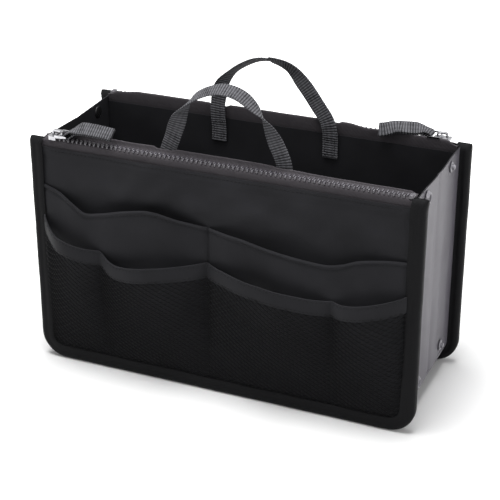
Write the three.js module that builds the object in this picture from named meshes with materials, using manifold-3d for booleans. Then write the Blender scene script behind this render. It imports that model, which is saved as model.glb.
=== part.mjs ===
import * as THREE from "three";
import Module from "manifold-3d";

const wasm = await Module();
wasm.setup();

// Driving dimensions in millimetres. X runs along the walls, Y from front to back, Z up from the floor.
const LENGTH = 300; // length of a wall
const HEIGHT = 180; // floor to the middle of the zip chain
const DEPTH = 115; // outer face of the front wall to outer face of the back wall
const CORNER = 20; // radius of a wall's bottom corners
const CLOTH = 0.9; // padded nylon of the panels and linings
const BOARD = 0.8; // stiffener behind an outer panel
const TRIM = 0.8; // binding tape
const BINDING_WIDTH = 10; // binding seen on the face of a wall
const POCKET_CLOTH = 0.8; // slip pocket, net and hem
const SLIP_SWELL = 8; // how far a slip pocket stands off its panel
const NET_SWELL = 10.5; // how far a net pocket stands off the slip pocket
const HEM_HEIGHT = 12; // hem along the mouth of a net pocket
const CHAIN_WIDTH = 5.6; // closed zip chain with the beads of both tapes
const TOOTH_PITCH = 3.5; // from tooth to tooth on one tape
const TOOTH_HEIGHT = 2.2;
const TAPE_CLOTH = 0.6; // woven zip tape
const SLIDER_LENGTH = 13;
const PULL_WIDTH = 10; // webbing strap of a zip pull
const PULL_LENGTH = 36;
const PULL_ARCH = 9; // how far the strap bows up
const WEBBING_WIDTH = 12; // handle webbing
const WEBBING_THICK = 1.4;
const HANDLE_SPAN = 90; // between the middles of a handle's feet
const HANDLE_RISE = 50; // top of a handle above the zip chain
const GUSSET_CLOTH = 1; // folding sides and base
const SNAP_RADIUS = 5;
const FLANGE = 8; // bound edge of a wall that stands out past the folding sides and base
const EDGE_THICK = 6.6; // bound edge, through the wall
const HANDLE_LEAN = 2; // how far the top of a handle leans outwards
const MITRE_EASE = 6; // the base stops this far short of the round corners

// Clearances.
const GAP = 0.3; // between sewn or seated pieces
const SLIDE_GAP = 0.4; // around what slides or turns
const OVER = 5; // how far a cutting tool runs past what it cuts
const ARC = 5; // straight steps in a quarter of a curve

// Stations through a wall, measured inwards from its outer face.
const RIDGE_ROOM = 1.8; // between the chain and the lining, where the inner tape turns up
const RIDGE_RISE = 0.8; // the inner tape's ridge above the chain
const panelOut = TRIM + GAP;
const panelIn = panelOut + CLOTH;
const boardOut = panelIn + GAP;
const tapeOut = panelIn + GAP;
const zipMid = tapeOut + CHAIN_WIDTH / 2;
const tapeIn = zipMid + CHAIN_WIDTH / 2;
const liningOut = tapeIn + RIDGE_ROOM + GAP;
const liningIn = liningOut + CLOTH;
const wallThick = liningIn + GAP + TRIM;
const slipOut = panelOut - GAP - POCKET_CLOTH;
const netOut = slipOut - GAP - POCKET_CLOTH;

// Heights on a wall.
const TAPE_DROP = 14;
const chainTop = HEIGHT + TOOTH_HEIGHT / 2;
const chainLow = HEIGHT - TOOTH_HEIGHT / 2;
const bindingTop = HEIGHT - TOOTH_HEIGHT / 2 - GAP;
const panelTop = HEIGHT - TAPE_DROP + CHAIN_WIDTH;
const boardTop = HEIGHT - TAPE_DROP - GAP;
const liningTop = HEIGHT - CHAIN_WIDTH;
const slipTop = 0.745 * HEIGHT;
const netTop = 0.58 * HEIGHT;

// Pocket seams along the wall.
const pocketEnd = LENGTH / 2 - BINDING_WIDTH - GAP;
const pocketFoot = BINDING_WIDTH + GAP;
const pocketCorner = Math.max(CORNER - BINDING_WIDTH - GAP, 1);
const middleSeam = -0.027 * LENGTH;
const slipSeams = [-pocketEnd, middleSeam, pocketEnd];
const netSeams = [-pocketEnd, -0.303 * LENGTH, middleSeam, 0.297 * LENGTH, pocketEnd];

// Folding sides and base. Each half turns on a line set off from the wall, and creases at its outer face.
const capThick = 1;
const foldGap = capThick + 2 * GAP + SLIDE_GAP;
const foldY = DEPTH / 2 - wallThick - foldGap;
const gussetOut = LENGTH / 2 - FLANGE;
const gussetIn = gussetOut - GUSSET_CLOTH;
const gussetTop = HEIGHT - 2;
const stripInset = FLANGE + GUSSET_CLOTH + 1;
const snapY = 0.68 * foldY;
const snapLow = CORNER + GAP + SNAP_RADIUS + 1.5;
const snapHigh = gussetTop - SNAP_RADIUS - 2.5;

const frontY = (depth) => depth - DEPTH / 2;
const group = new THREE.Group();

// A closed three.js geometry as a solid that can be joined and cut.
function solid(geometry) {
  const loose = geometry.index ? geometry.toNonIndexed() : geometry;
  const position = loose.getAttribute("position");
  const mesh = new wasm.Mesh({
    numProp: 3,
    vertProperties: Float32Array.from(position.array),
    triVerts: Uint32Array.from({ length: position.count }, (_, index) => index),
  });
  mesh.merge();
  return new wasm.Manifold(mesh);
}

function surface(body) {
  const mesh = body.getMesh();
  const geometry = new THREE.BufferGeometry();
  geometry.setAttribute("position", new THREE.BufferAttribute(mesh.vertProperties, mesh.numProp));
  geometry.setIndex(new THREE.BufferAttribute(mesh.triVerts, 1));
  return geometry;
}

function extruded(shape, depth) {
  return new THREE.ExtrudeGeometry(shape, { depth, bevelEnabled: false, curveSegments: ARC });
}

// An outline in X and Z, carried along Y.
function alongY(shape, from, to) {
  const geometry = extruded(shape, to - from);
  geometry.rotateX(Math.PI / 2);
  geometry.translate(0, to, 0);
  return solid(geometry);
}

// The same, between two depths in the front wall.
function layer(shape, from, to) {
  return alongY(shape, frontY(from), frontY(to));
}

// An outline in Y and Z, carried along X.
function alongX(shape, from, to) {
  const geometry = extruded(shape, to - from);
  const across = new THREE.Vector3(0, 1, 0);
  const up = new THREE.Vector3(0, 0, 1);
  const along = new THREE.Vector3(1, 0, 0);
  geometry.applyMatrix4(new THREE.Matrix4().makeBasis(across, up, along));
  geometry.translate(from, 0, 0);
  return solid(geometry);
}

// An outline in X and Y, carried along Z.
function alongZ(shape, from, to) {
  const geometry = extruded(shape, to - from);
  geometry.translate(0, 0, from);
  return solid(geometry);
}

function polygon(corners) {
  return new THREE.Shape(corners.map(([a, b]) => new THREE.Vector2(a, b)));
}

function rectangle(left, low, right, high) {
  return polygon([
    [left, low],
    [right, low],
    [right, high],
    [left, high],
  ]);
}

function circle(a, b, radius) {
  const shape = new THREE.Shape();
  shape.absarc(a, b, radius, 0, Math.PI, false);
  shape.absarc(a, b, radius, Math.PI, 2 * Math.PI, false);
  return shape;
}

// A wall's outline with round bottom corners, drawn in from the edge of the wall, open at the top.
function wallOutline(inset, top) {
  const half = LENGTH / 2 - inset;
  const radius = Math.max(CORNER - inset, 0.5);
  const shape = new THREE.Shape();
  shape.moveTo(-half, top);
  shape.lineTo(-half, inset + radius);
  shape.absarc(-half + radius, inset + radius, radius, Math.PI, 1.5 * Math.PI, false);
  shape.lineTo(half - radius, inset);
  shape.absarc(half - radius, inset + radius, radius, 1.5 * Math.PI, 2 * Math.PI, false);
  shape.lineTo(half, top);
  shape.closePath();
  return shape;
}

// The binding is a tape folded around the sides and bottom of a wall.
function edgeBinding() {
  const band = layer(wallOutline(0, bindingTop), 0, EDGE_THICK);
  const opening = layer(wallOutline(BINDING_WIDTH, bindingTop + OVER), -OVER, EDGE_THICK + OVER);
  const channel = layer(wallOutline(TRIM, bindingTop + OVER), TRIM, EDGE_THICK - TRIM);
  return band.subtract(opening).subtract(channel);
}

// The seam strip stands on the binding's inner side, and the folding cloth is sewn to its far edge.
function seamStrip() {
  const start = EDGE_THICK + GAP;
  const end = wallThick + foldGap - GAP;
  const strip = layer(wallOutline(FLANGE, bindingTop), start, end);
  return strip.subtract(layer(wallOutline(stripInset, bindingTop + OVER), start - OVER, end + OVER));
}

// How far along its pocket section a point is, from 0 at one seam to 1 at the next, and the section's width.
function section(x, seams) {
  let index = 0;
  while (index < seams.length - 2 && x > seams[index + 1]) index += 1;
  const width = seams[index + 1] - seams[index];
  return { part: THREE.MathUtils.clamp((x - seams[index]) / width, 0, 1), width };
}

function swell(x, z, seams, most, top) {
  const { part, width } = section(x, seams);
  const across = Math.sin(Math.PI * part) ** 0.75;
  const up = THREE.MathUtils.clamp((z - pocketFoot) / (top - pocketFoot), 0, 1);
  return Math.min(most, 0.2 * width) * across * Math.sin((Math.PI / 2) * up);
}

const slipDepth = (x, z) => slipOut - swell(x, z, slipSeams, SLIP_SWELL, slipTop);
const netDepth = (x, z) =>
  slipDepth(x, z) + netOut - slipOut - swell(x, z, netSeams, NET_SWELL, netTop);

// The mouth of a pocket dips between its seams.
const mouth = (x, seams, top, dip) => top - dip * Math.sin(Math.PI * section(x, seams).part);
const slipMouth = (x) => mouth(x, slipSeams, slipTop, 7);
const netMouth = (x) => mouth(x, netSeams, netTop, 9);

// The foot of a pocket follows the binding around the wall's bottom corners.
function footAt(x) {
  const into = Math.max(Math.abs(x) - (pocketEnd - pocketCorner), 0);
  return pocketFoot + pocketCorner - Math.sqrt(Math.max(pocketCorner ** 2 - into ** 2, 0));
}

function pocketColumns() {
  const columns = [-pocketEnd];
  for (let index = 1; index < netSeams.length; index += 1) {
    const start = netSeams[index - 1];
    const width = netSeams[index] - start;
    for (let step = 1; step <= ARC; step += 1) columns.push(start + (width * step) / ARC);
  }
  for (const share of [0.3, 0.7, 0.92]) {
    columns.push(pocketEnd - pocketCorner * (1 - share));
    columns.push(-pocketEnd + pocketCorner * (1 - share));
  }
  return columns.sort((a, b) => a - b);
}

// A soft sheet that stands off the wall by a depth that changes over it.
function sheet(rows, lowAt, highAt, depthAt, thick) {
  const columns = pocketColumns();
  const position = [];
  for (const side of [0, thick]) {
    for (const x of columns) {
      for (let row = 0; row <= rows; row += 1) {
        const z = THREE.MathUtils.lerp(lowAt(x), highAt(x), row / rows);
        position.push(x, frontY(side + depthAt(x, z)), z);
      }
    }
  }
  const at = (side, column, row) => (side * columns.length + column) * (rows + 1) + row;
  const faces = [];
  const quad = (a, b, c, d) => faces.push(a, b, c, a, c, d);
  const last = columns.length - 1;
  for (let c = 0; c < last; c += 1) {
    for (let r = 0; r < rows; r += 1) {
      quad(at(0, c, r), at(0, c + 1, r), at(0, c + 1, r + 1), at(0, c, r + 1));
      quad(at(1, c, r), at(1, c, r + 1), at(1, c + 1, r + 1), at(1, c + 1, r));
    }
    quad(at(0, c, 0), at(1, c, 0), at(1, c + 1, 0), at(0, c + 1, 0));
    quad(at(0, c, rows), at(0, c + 1, rows), at(1, c + 1, rows), at(1, c, rows));
  }
  for (let r = 0; r < rows; r += 1) {
    quad(at(0, 0, r), at(0, 0, r + 1), at(1, 0, r + 1), at(1, 0, r));
    quad(at(0, last, r), at(1, last, r), at(1, last, r + 1), at(0, last, r + 1));
  }
  const geometry = new THREE.BufferGeometry();
  geometry.setAttribute("position", new THREE.Float32BufferAttribute(position, 3));
  geometry.setIndex(faces);
  return solid(geometry);
}

// The zip runs along the top of a wall. Closed, its slider stands at the left end.
const tapeEnd = LENGTH / 2 - TRIM - GAP;
const stopX = LENGTH / 2 - BINDING_WIDTH;
const STOP_LENGTH = 3.5;
const sliderX = -LENGTH / 2 + BINDING_WIDTH + SLIDER_LENGTH - 1;
const beadWidth = CHAIN_WIDTH / 4;
const toothReach = CHAIN_WIDTH / 2 - beadWidth - SLIDE_GAP;

// A row of teeth on its bead. side is -1 for the outer row and 1 for the inner one.
function zipTeeth(side) {
  const root = zipMid + side * (CHAIN_WIDTH / 2 - beadWidth);
  const tip = zipMid - side * toothReach;
  const back = zipMid + (side * CHAIN_WIDTH) / 2;
  const broad = 0.235 * TOOTH_PITCH;
  const narrow = 0.17 * TOOTH_PITCH;
  const first = sliderX - 1 + (side > 0 ? TOOTH_PITCH / 2 : 0);
  const start = first - TOOTH_PITCH / 2;
  const comb = [[start, frontY(back)], [start, frontY(root)]];
  for (let x = first; x < stopX - TOOTH_PITCH; x += TOOTH_PITCH) {
    comb.push([x - broad, frontY(root)]);
    comb.push([x - narrow, frontY(tip)]);
    comb.push([x + narrow, frontY(tip)]);
    comb.push([x + broad, frontY(root)]);
  }
  comb.push([tapeEnd, frontY(root)]);
  comb.push([tapeEnd, frontY(back)]);
  if (side < 0) comb.reverse();
  return alongZ(polygon(comb), chainLow, chainTop);
}

// The outer tape hangs from its bead down behind the panel.
function outerTape() {
  const tape = polygon([
    [frontY(tapeOut), chainLow - GAP],
    [frontY(tapeOut), HEIGHT - TAPE_DROP],
    [frontY(tapeOut + TAPE_CLOTH), HEIGHT - TAPE_DROP],
    [frontY(tapeOut + TAPE_CLOTH), chainLow - GAP],
  ]);
  return alongX(tape, -tapeEnd, tapeEnd);
}

// The inner tape turns over the lining's upper edge, where it is sewn, and stands up behind the chain.
function innerTape() {
  const end = LENGTH / 2 - stripInset - GAP;
  const low = liningTop + GAP;
  const tape = polygon([
    [frontY(tapeIn - TAPE_CLOTH), chainLow - GAP],
    [frontY(tapeIn - TAPE_CLOTH), low],
    [frontY(liningIn), low],
    [frontY(liningIn), chainTop + RIDGE_RISE],
    [frontY(liningIn - TAPE_CLOTH), chainTop + RIDGE_RISE],
    [frontY(liningIn - TAPE_CLOTH), low + TAPE_CLOTH],
    [frontY(tapeIn), low + TAPE_CLOTH],
    [frontY(tapeIn), chainLow - GAP],
  ]);
  return alongX(tape, -end, end);
}

// The closed chain: both rows, held together at the far end by a stop that is moulded over the beads.
function zipChain() {
  const half = CHAIN_WIDTH / 2;
  const stop = rectangle(stopX, frontY(zipMid - half), stopX + STOP_LENGTH, frontY(zipMid + half));
  return zipTeeth(-1).add(zipTeeth(1)).add(alongZ(stop, chainLow, chainTop + RIDGE_RISE));
}

// The slider: two plates joined by a post at its mouth, flanges outside the beads, and a bridge for the pull.
const plateThick = 1;
const plateLow = chainTop + SLIDE_GAP;
const plateHigh = plateLow + plateThick;
const pullWire = 1.2;
const bridgeSpan = 2.4 * pullWire;
const pullX = sliderX + 1;
const pullZ = plateHigh + bridgeSpan / 2;

function zipSlider() {
  const flange = 1.1;
  const half = SLIDER_LENGTH / 2;
  const inner = CHAIN_WIDTH / 2 + SLIDE_GAP;
  const outer = inner + flange;
  const low = CHAIN_WIDTH / 2 - TAPE_CLOTH - SLIDE_GAP;
  const lowTop = HEIGHT - TOOTH_HEIGHT / 2 - SLIDE_GAP;
  const plate = new THREE.Shape();
  plate.moveTo(sliderX - half, frontY(zipMid - outer + 1));
  plate.lineTo(sliderX - half + 1, frontY(zipMid - outer));
  plate.lineTo(sliderX, frontY(zipMid - outer));
  plate.quadraticCurveTo(sliderX + half, frontY(zipMid - outer), sliderX + half, frontY(zipMid - 1));
  plate.lineTo(sliderX + half, frontY(zipMid + 1));
  plate.quadraticCurveTo(sliderX + half, frontY(zipMid + outer), sliderX, frontY(zipMid + outer));
  plate.lineTo(sliderX - half + 1, frontY(zipMid + outer));
  plate.lineTo(sliderX - half, frontY(zipMid + outer - 1));
  let body = alongZ(plate, plateLow, plateHigh);
  for (const side of [-1, 1]) {
    const edges = [frontY(zipMid + side * inner), frontY(zipMid + side * outer)].sort((a, b) => a - b);
    const wing = rectangle(sliderX - half + 1, edges[0], sliderX, edges[1]);
    body = body.add(alongZ(wing, HEIGHT - SLIDE_GAP, plateHigh - plateThick / 2));
  }
  const foot = rectangle(sliderX - half, frontY(zipMid - low), sliderX + half, frontY(zipMid + low));
  body = body.add(alongZ(foot, lowTop - plateThick, lowTop));
  const postHalf = CHAIN_WIDTH / 2 - beadWidth - SLIDE_GAP - 0.1;
  const post = polygon([
    [sliderX - half + 0.6, frontY(zipMid)],
    [sliderX - half + 2, frontY(zipMid - postHalf)],
    [sliderX - half + 3.6, frontY(zipMid)],
    [sliderX - half + 2, frontY(zipMid + postHalf)],
  ]);
  body = body.add(alongZ(post, lowTop - plateThick / 2, plateHigh - plateThick / 2));
  const reach = bridgeSpan + pullWire;
  const bridge = polygon([
    [sliderX - reach, plateHigh - plateThick / 2],
    [sliderX - bridgeSpan, plateHigh - plateThick / 2],
    [sliderX - bridgeSpan, plateHigh + bridgeSpan],
    [sliderX + bridgeSpan, plateHigh + bridgeSpan],
    [sliderX + bridgeSpan, plateHigh - plateThick / 2],
    [sliderX + reach, plateHigh - plateThick / 2],
    [sliderX + reach, plateHigh + bridgeSpan],
    [sliderX + bridgeSpan, plateHigh + reach],
    [sliderX - bridgeSpan, plateHigh + reach],
    [sliderX - reach, plateHigh + bridgeSpan],
  ]);
  return body.add(layer(bridge, zipMid - pullWire, zipMid + pullWire));
}

// The pull is a wire ring through the slider's bridge and a webbing strap folded around the ring.
const ringHalf = PULL_WIDTH / 2 + GAP + pullWire;
const ringLength = 8 * pullWire;
const strapX = pullX + ringLength - pullWire;

function pullRing() {
  const ring = rectangle(
    pullX - pullWire / 2,
    frontY(zipMid - ringHalf),
    strapX + pullWire / 2,
    frontY(zipMid + ringHalf),
  );
  ring.holes.push(
    rectangle(
      pullX + pullWire / 2,
      frontY(zipMid - ringHalf + pullWire),
      strapX - pullWire / 2,
      frontY(zipMid + ringHalf - pullWire),
    ),
  );
  return alongZ(ring, pullZ - pullWire / 2, pullZ + pullWire / 2);
}

// The outline of a strip of even thickness along a row of points.
function stripOutline(points, thick) {
  const left = [];
  const right = [];
  points.forEach((point, index) => {
    const before = points[Math.max(index - 1, 0)];
    const after = points[Math.min(index + 1, points.length - 1)];
    const along = after.clone().sub(before).normalize();
    const aside = new THREE.Vector2(-along.y, along.x).multiplyScalar(thick / 2);
    left.push(point.clone().add(aside));
    right.push(point.clone().sub(aside));
  });
  return new THREE.Shape(right.concat(left.reverse()));
}

function pullStrap() {
  const eye = 0.75 * pullWire + GAP + WEBBING_THICK / 2;
  const flat = (GAP + WEBBING_THICK) / 2;
  const rest = chainTop + SLIDE_GAP + WEBBING_THICK + GAP / 2 + GAP;
  const middle = (share) =>
    new THREE.Vector2(
      strapX + PULL_LENGTH * share,
      pullZ + PULL_ARCH * Math.sin(Math.PI * share) + (rest - pullZ) * share,
    );
  const aside = (share) => {
    const along = middle(share + 0.01).sub(middle(share - 0.01)).normalize();
    return new THREE.Vector2(-along.y, along.x);
  };
  const spread = (share) => flat + (eye - flat) * (1 - THREE.MathUtils.smoothstep(share, 0, 0.22));
  const points = [];
  const steps = 2 * ARC + 2;
  for (let step = steps; step > 0; step -= 1) {
    const share = step / steps;
    points.push(middle(share).addScaledVector(aside(share), -spread(share)));
  }
  const start = aside(0).angle() + Math.PI;
  for (let step = 0; step <= ARC; step += 1) {
    const turn = start - (Math.PI * step) / ARC;
    points.push(middle(0).add(new THREE.Vector2(Math.cos(turn), Math.sin(turn)).multiplyScalar(eye)));
  }
  for (let step = 1; step <= steps; step += 1) {
    const share = step / steps;
    points.push(middle(share).addScaledVector(aside(share), spread(share)));
  }
  return layer(stripOutline(points, WEBBING_THICK), zipMid - PULL_WIDTH / 2, zipMid + PULL_WIDTH / 2);
}

// Handle feet are sewn inside the wall with the webbing's end folded under; the loop bends above them.
const legOut = Math.max(zipMid + ringHalf + SLIDE_GAP, liningIn + GAP + WEBBING_THICK);
const legMid = legOut + WEBBING_THICK / 2;
const footHigh = HEIGHT + 2;
const hingeZ = footHigh + GAP + WEBBING_THICK / 2;

function handleFoot(side) {
  const low = HEIGHT - 2 * WEBBING_WIDTH;
  const profile = polygon([
    [frontY(liningIn + GAP), low],
    [frontY(legOut + WEBBING_THICK), low],
    [frontY(legOut + WEBBING_THICK), footHigh],
    [frontY(legOut), footHigh],
    [frontY(legOut), HEIGHT - 3],
    [frontY(liningIn + GAP), HEIGHT - 3],
  ]);
  const middle = (side * HANDLE_SPAN) / 2;
  return alongX(profile, middle - WEBBING_WIDTH / 2, middle + WEBBING_WIDTH / 2);
}

// A flat strap along a curve: each section gives its middle, its two directions and its thickness.
function ribbon(sections, width) {
  const position = [];
  for (const { middle, wide, thin, thick } of sections) {
    for (const [a, b] of [[1, 1], [-1, 1], [-1, -1], [1, -1]]) {
      const corner = middle.clone();
      corner.addScaledVector(wide, (a * width) / 2);
      corner.addScaledVector(thin, (b * thick) / 2);
      position.push(corner.x, corner.y, corner.z);
    }
  }
  const faces = [];
  const quad = (a, b, c, d) => faces.push(a, b, c, a, c, d);
  const last = 4 * (sections.length - 1);
  for (let base = 0; base < last; base += 4) {
    for (let k = 0; k < 4; k += 1) {
      const next = (k + 1) % 4;
      quad(base + k, base + next, base + 4 + next, base + 4 + k);
    }
  }
  quad(3, 2, 1, 0);
  quad(last, last + 1, last + 2, last + 3);
  const geometry = new THREE.BufferGeometry();
  geometry.setAttribute("position", new THREE.Float32BufferAttribute(position, 3));
  geometry.setIndex(faces);
  return solid(geometry);
}

// The loop is flat to the wall at its feet and turns a quarter, so that it lies flat across the top.
function handleLoop() {
  const y = frontY(legMid);
  const half = HANDLE_SPAN / 2;
  const rise = HEIGHT + HANDLE_RISE - hingeZ - WEBBING_THICK / 2;
  const point = (x, up) => new THREE.Vector3(x, y - HANDLE_LEAN * up, hingeZ + rise * up);
  const path = new THREE.CurvePath();
  path.add(new THREE.CubicBezierCurve3(point(-half, 0), point(-half, 0.55), point(-0.68 * half, 1), point(0, 1)));
  path.add(new THREE.CubicBezierCurve3(point(0, 1), point(0.68 * half, 1), point(half, 0.55), point(half, 0)));
  const across = new THREE.Vector3(0, 1, 0);
  const steps = 5 * ARC + 1;
  const sections = [];
  const add = (share, shift, thick) => {
    const along = path.getTangentAt(share);
    const aside = across.clone().cross(along).normalize();
    const nearest = Math.min(share, 1 - share);
    const turn = (Math.PI / 2) * THREE.MathUtils.smoothstep(nearest, 0.1, 0.42);
    const wide = aside.multiplyScalar(Math.cos(turn)).addScaledVector(across, Math.sin(turn));
    const thin = along.clone().cross(wide);
    const middle = path.getPointAt(share).addScaledVector(along, shift);
    sections.push({ middle, wide, thin, thick });
  };
  const round = WEBBING_THICK / 2;
  for (const turn of [1.4, 1, 0.5]) add(0, -round * Math.sin(turn), WEBBING_THICK * Math.cos(turn));
  for (let step = 0; step <= steps; step += 1) add(step / steps, 0, WEBBING_THICK);
  for (const turn of [0.5, 1, 1.4]) add(1, round * Math.sin(turn), WEBBING_THICK * Math.cos(turn));
  return ribbon(sections, WEBBING_WIDTH);
}

// The right side's front half, with holes for its snaps.
const snapHole = 0.34 * SNAP_RADIUS;
const snapHeights = { upper: snapHigh, lower: snapLow };

function gussetHalf() {
  const panel = rectangle(-foldY, CORNER + GAP, -GAP / 2, gussetTop);
  let half = alongX(panel, gussetIn, gussetOut);
  for (const height of Object.values(snapHeights)) {
    half = half.subtract(alongX(circle(-snapY, height, snapHole), gussetIn - OVER, gussetOut + OVER));
  }
  return half;
}

// The base's front half narrows to its crease, so that the sides can fold in over it.
const cornerX = LENGTH / 2 - CORNER;
const mitreX = cornerX - MITRE_EASE;

function baseHalf() {
  const start = mitreX - GAP * Math.SQRT2;
  const end = start - foldY;
  const outline = polygon([
    [-start, -foldY],
    [start, -foldY],
    [end + GAP / 2, -GAP / 2],
    [-end - GAP / 2, -GAP / 2],
  ]);
  return alongZ(outline, FLANGE, FLANGE + GUSSET_CLOTH);
}

// The soft corner between the side and the base: round underneath, with a flap that meets the base's slant.
function cornerFold() {
  const outer = CORNER - FLANGE;
  const inner = outer - GUSSET_CLOTH;
  const end = mitreX - foldY - OVER;
  const profile = new THREE.Shape();
  profile.moveTo(end, FLANGE);
  profile.lineTo(cornerX, FLANGE);
  profile.absarc(cornerX, CORNER, outer, 1.5 * Math.PI, 2 * Math.PI, false);
  profile.lineTo(cornerX + inner, CORNER);
  profile.absarc(cornerX, CORNER, inner, 2 * Math.PI, 1.5 * Math.PI, true);
  profile.lineTo(end, FLANGE + GUSSET_CLOTH);
  profile.closePath();
  const slant = polygon([
    [mitreX + OVER, -foldY - OVER],
    [mitreX - foldY - OVER, OVER],
    [end - OVER, OVER],
    [end - OVER, -foldY - OVER],
  ]);
  return alongY(profile, -foldY, -GAP / 2).subtract(alongZ(slant, -OVER, FLANGE + 2 * GUSSET_CLOTH));
}

// Snaps: a socket or a stud outside, and a cap inside whose shank goes through the cloth.
const snapFace = gussetOut + GAP;

function snapSocket(height) {
  const body = alongX(circle(-snapY, height, SNAP_RADIUS), snapFace, snapFace + 2.4);
  return body.subtract(alongX(circle(-snapY, height, 0.52 * SNAP_RADIUS), snapFace + 0.4, snapFace + OVER));
}

function snapStud(height) {
  const flange = alongX(circle(-snapY, height, 0.84 * SNAP_RADIUS), snapFace, snapFace + 0.8);
  return flange.add(alongX(circle(-snapY, height, 0.42 * SNAP_RADIUS), snapFace + 0.4, snapFace + 2.8));
}

function snapCap(height) {
  const back = gussetIn - GAP;
  const cap = alongX(circle(-snapY, height, SNAP_RADIUS), back - capThick, back);
  return cap.add(alongX(circle(-snapY, height, snapHole - GAP), back - capThick / 2, gussetOut));
}

const looks = {
  nylon: { color: 0x1d1d1f, roughness: 0.62, metalness: 0 },
  lining: { color: 0x19191b, roughness: 0.7, metalness: 0 },
  board: { color: 0x2c2c2e, roughness: 0.8, metalness: 0 },
  trim: { color: 0x161617, roughness: 0.75, metalness: 0 },
  net: { color: 0x151516, roughness: 0.7, metalness: 0 },
  satin: { color: 0x807e84, roughness: 0.5, metalness: 0 },
  webbing: { color: 0x5c5c60, roughness: 0.85, metalness: 0 },
  zip: { color: 0x4c4a4e, roughness: 0.7, metalness: 0 },
  chrome: { color: 0xd6d6da, roughness: 0.2, metalness: 1 },
  snap: { color: 0x8c8b90, roughness: 0.4, metalness: 0 },
};

function add(name, body, look) {
  const mesh = new THREE.Mesh(surface(body), new THREE.MeshStandardMaterial(looks[look]));
  mesh.geometry.computeVertexNormals();
  mesh.name = name;
  group.add(mesh);
}

// Every piece at the front has a twin at the back, half a turn about Z away.
function addTwins(front, back, body, look) {
  add(front, body, look);
  add(back, body.rotate([0, 0, 180]), look);
}

const wallPieces = [
  ["outer_panel", layer(wallOutline(TRIM + GAP, panelTop), panelOut, panelIn), "nylon"],
  ["stiffener", layer(wallOutline(TRIM + 2 * GAP, boardTop), boardOut, boardOut + BOARD), "board"],
  ["lining_panel", layer(wallOutline(stripInset + GAP, liningTop), liningOut, liningIn), "lining"],
  ["edge_binding", edgeBinding(), "trim"],
  ["seam_strip", seamStrip(), "satin"],
  ["slip_pocket", sheet(4, footAt, slipMouth, slipDepth, POCKET_CLOTH), "nylon"],
  ["net_pocket", sheet(4, footAt, (x) => netMouth(x) - HEM_HEIGHT - GAP, netDepth, POCKET_CLOTH), "net"],
  ["net_hem", sheet(1, (x) => netMouth(x) - HEM_HEIGHT, netMouth, netDepth, POCKET_CLOTH), "trim"],
  ["zip_outer_stringer", outerTape(), "zip"],
  ["zip_inner_stringer", innerTape(), "zip"],
  ["zip_chain", zipChain(), "zip"],
  ["zip_slider", zipSlider(), "chrome"],
  ["zip_pull_ring", pullRing(), "chrome"],
  ["zip_pull_strap", pullStrap(), "webbing"],
  ["handle_foot_left", handleFoot(-1), "webbing"],
  ["handle_foot_right", handleFoot(1), "webbing"],
  ["handle_loop", handleLoop(), "webbing"],
];
for (const [name, body, look] of wallPieces) addTwins(`front_${name}`, `back_${name}`, body, look);

const mirrored = (body) => body.mirror([1, 0, 0]);
addTwins("right_gusset_front", "left_gusset_rear", gussetHalf(), "satin");
addTwins("left_gusset_front", "right_gusset_rear", mirrored(gussetHalf()), "satin");
addTwins("base_front", "base_rear", baseHalf(), "satin");
addTwins("front_right_corner", "back_left_corner", cornerFold(), "satin");
addTwins("front_left_corner", "back_right_corner", mirrored(cornerFold()), "satin");
for (const [level, height] of Object.entries(snapHeights)) {
  addTwins(`right_front_${level}_socket`, `left_rear_${level}_socket`, snapSocket(height), "snap");
  addTwins(`left_front_${level}_stud`, `right_rear_${level}_stud`, mirrored(snapStud(height)), "snap");
  addTwins(`right_front_${level}_cap`, `left_rear_${level}_cap`, snapCap(height), "snap");
  addTwins(`left_front_${level}_cap`, `right_rear_${level}_cap`, mirrored(snapCap(height)), "snap");
}

export default group;
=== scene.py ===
# %% [markdown]
# # A purse organizer insert, dressed in Blender
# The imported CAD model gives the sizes, the bodies and the joints. Everything here is laid over it:
# cloth, net, webbing, teeth and thread, in the same frame, so no piece has to be fitted by eye.
# Meshes are drawn in millimetres, because that is how a maker measures cloth, and are made metres
# at the end of each piece.

# %% Load the frame
import bisect
import math

import bmesh
import bpy
from mathutils import Matrix, Vector, noise


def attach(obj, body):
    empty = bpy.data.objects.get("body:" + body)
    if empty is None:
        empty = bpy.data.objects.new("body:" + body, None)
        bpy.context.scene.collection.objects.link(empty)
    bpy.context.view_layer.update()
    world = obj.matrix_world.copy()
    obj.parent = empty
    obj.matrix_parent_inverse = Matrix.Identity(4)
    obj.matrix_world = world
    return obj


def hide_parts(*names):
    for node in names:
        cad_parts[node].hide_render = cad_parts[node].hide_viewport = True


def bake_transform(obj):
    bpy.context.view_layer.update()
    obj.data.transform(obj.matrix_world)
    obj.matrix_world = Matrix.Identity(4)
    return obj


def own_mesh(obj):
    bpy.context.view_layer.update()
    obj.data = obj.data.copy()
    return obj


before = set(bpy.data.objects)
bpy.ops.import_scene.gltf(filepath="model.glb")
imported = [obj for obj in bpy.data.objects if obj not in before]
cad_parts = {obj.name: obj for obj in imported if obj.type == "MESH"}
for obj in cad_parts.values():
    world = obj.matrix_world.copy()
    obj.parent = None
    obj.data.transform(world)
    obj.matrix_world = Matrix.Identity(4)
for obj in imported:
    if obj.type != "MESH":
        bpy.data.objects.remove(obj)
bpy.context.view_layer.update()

scene = bpy.context.scene
MM = 0.001

# %% [markdown]
# ## Nodes and colours
# Every finish is a node tree. One small function adds a node, sets what it is told to set and links
# what it is told to link, so a tree reads from top to bottom like a recipe. Colours are written as
# the sRGB hex values that a picture shows, and one function makes them linear for the shader.

# %% Add a node, read a colour
def add_node(tree, kind, inputs=None, **settings):
    node = tree.nodes.new(kind)
    for name, value in settings.items():
        setattr(node, name, value)
    for socket, source in (inputs or {}).items():
        if isinstance(source, bpy.types.NodeSocket):
            tree.links.new(source, node.inputs[socket])
        else:
            node.inputs[socket].default_value = source
    return node


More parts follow.
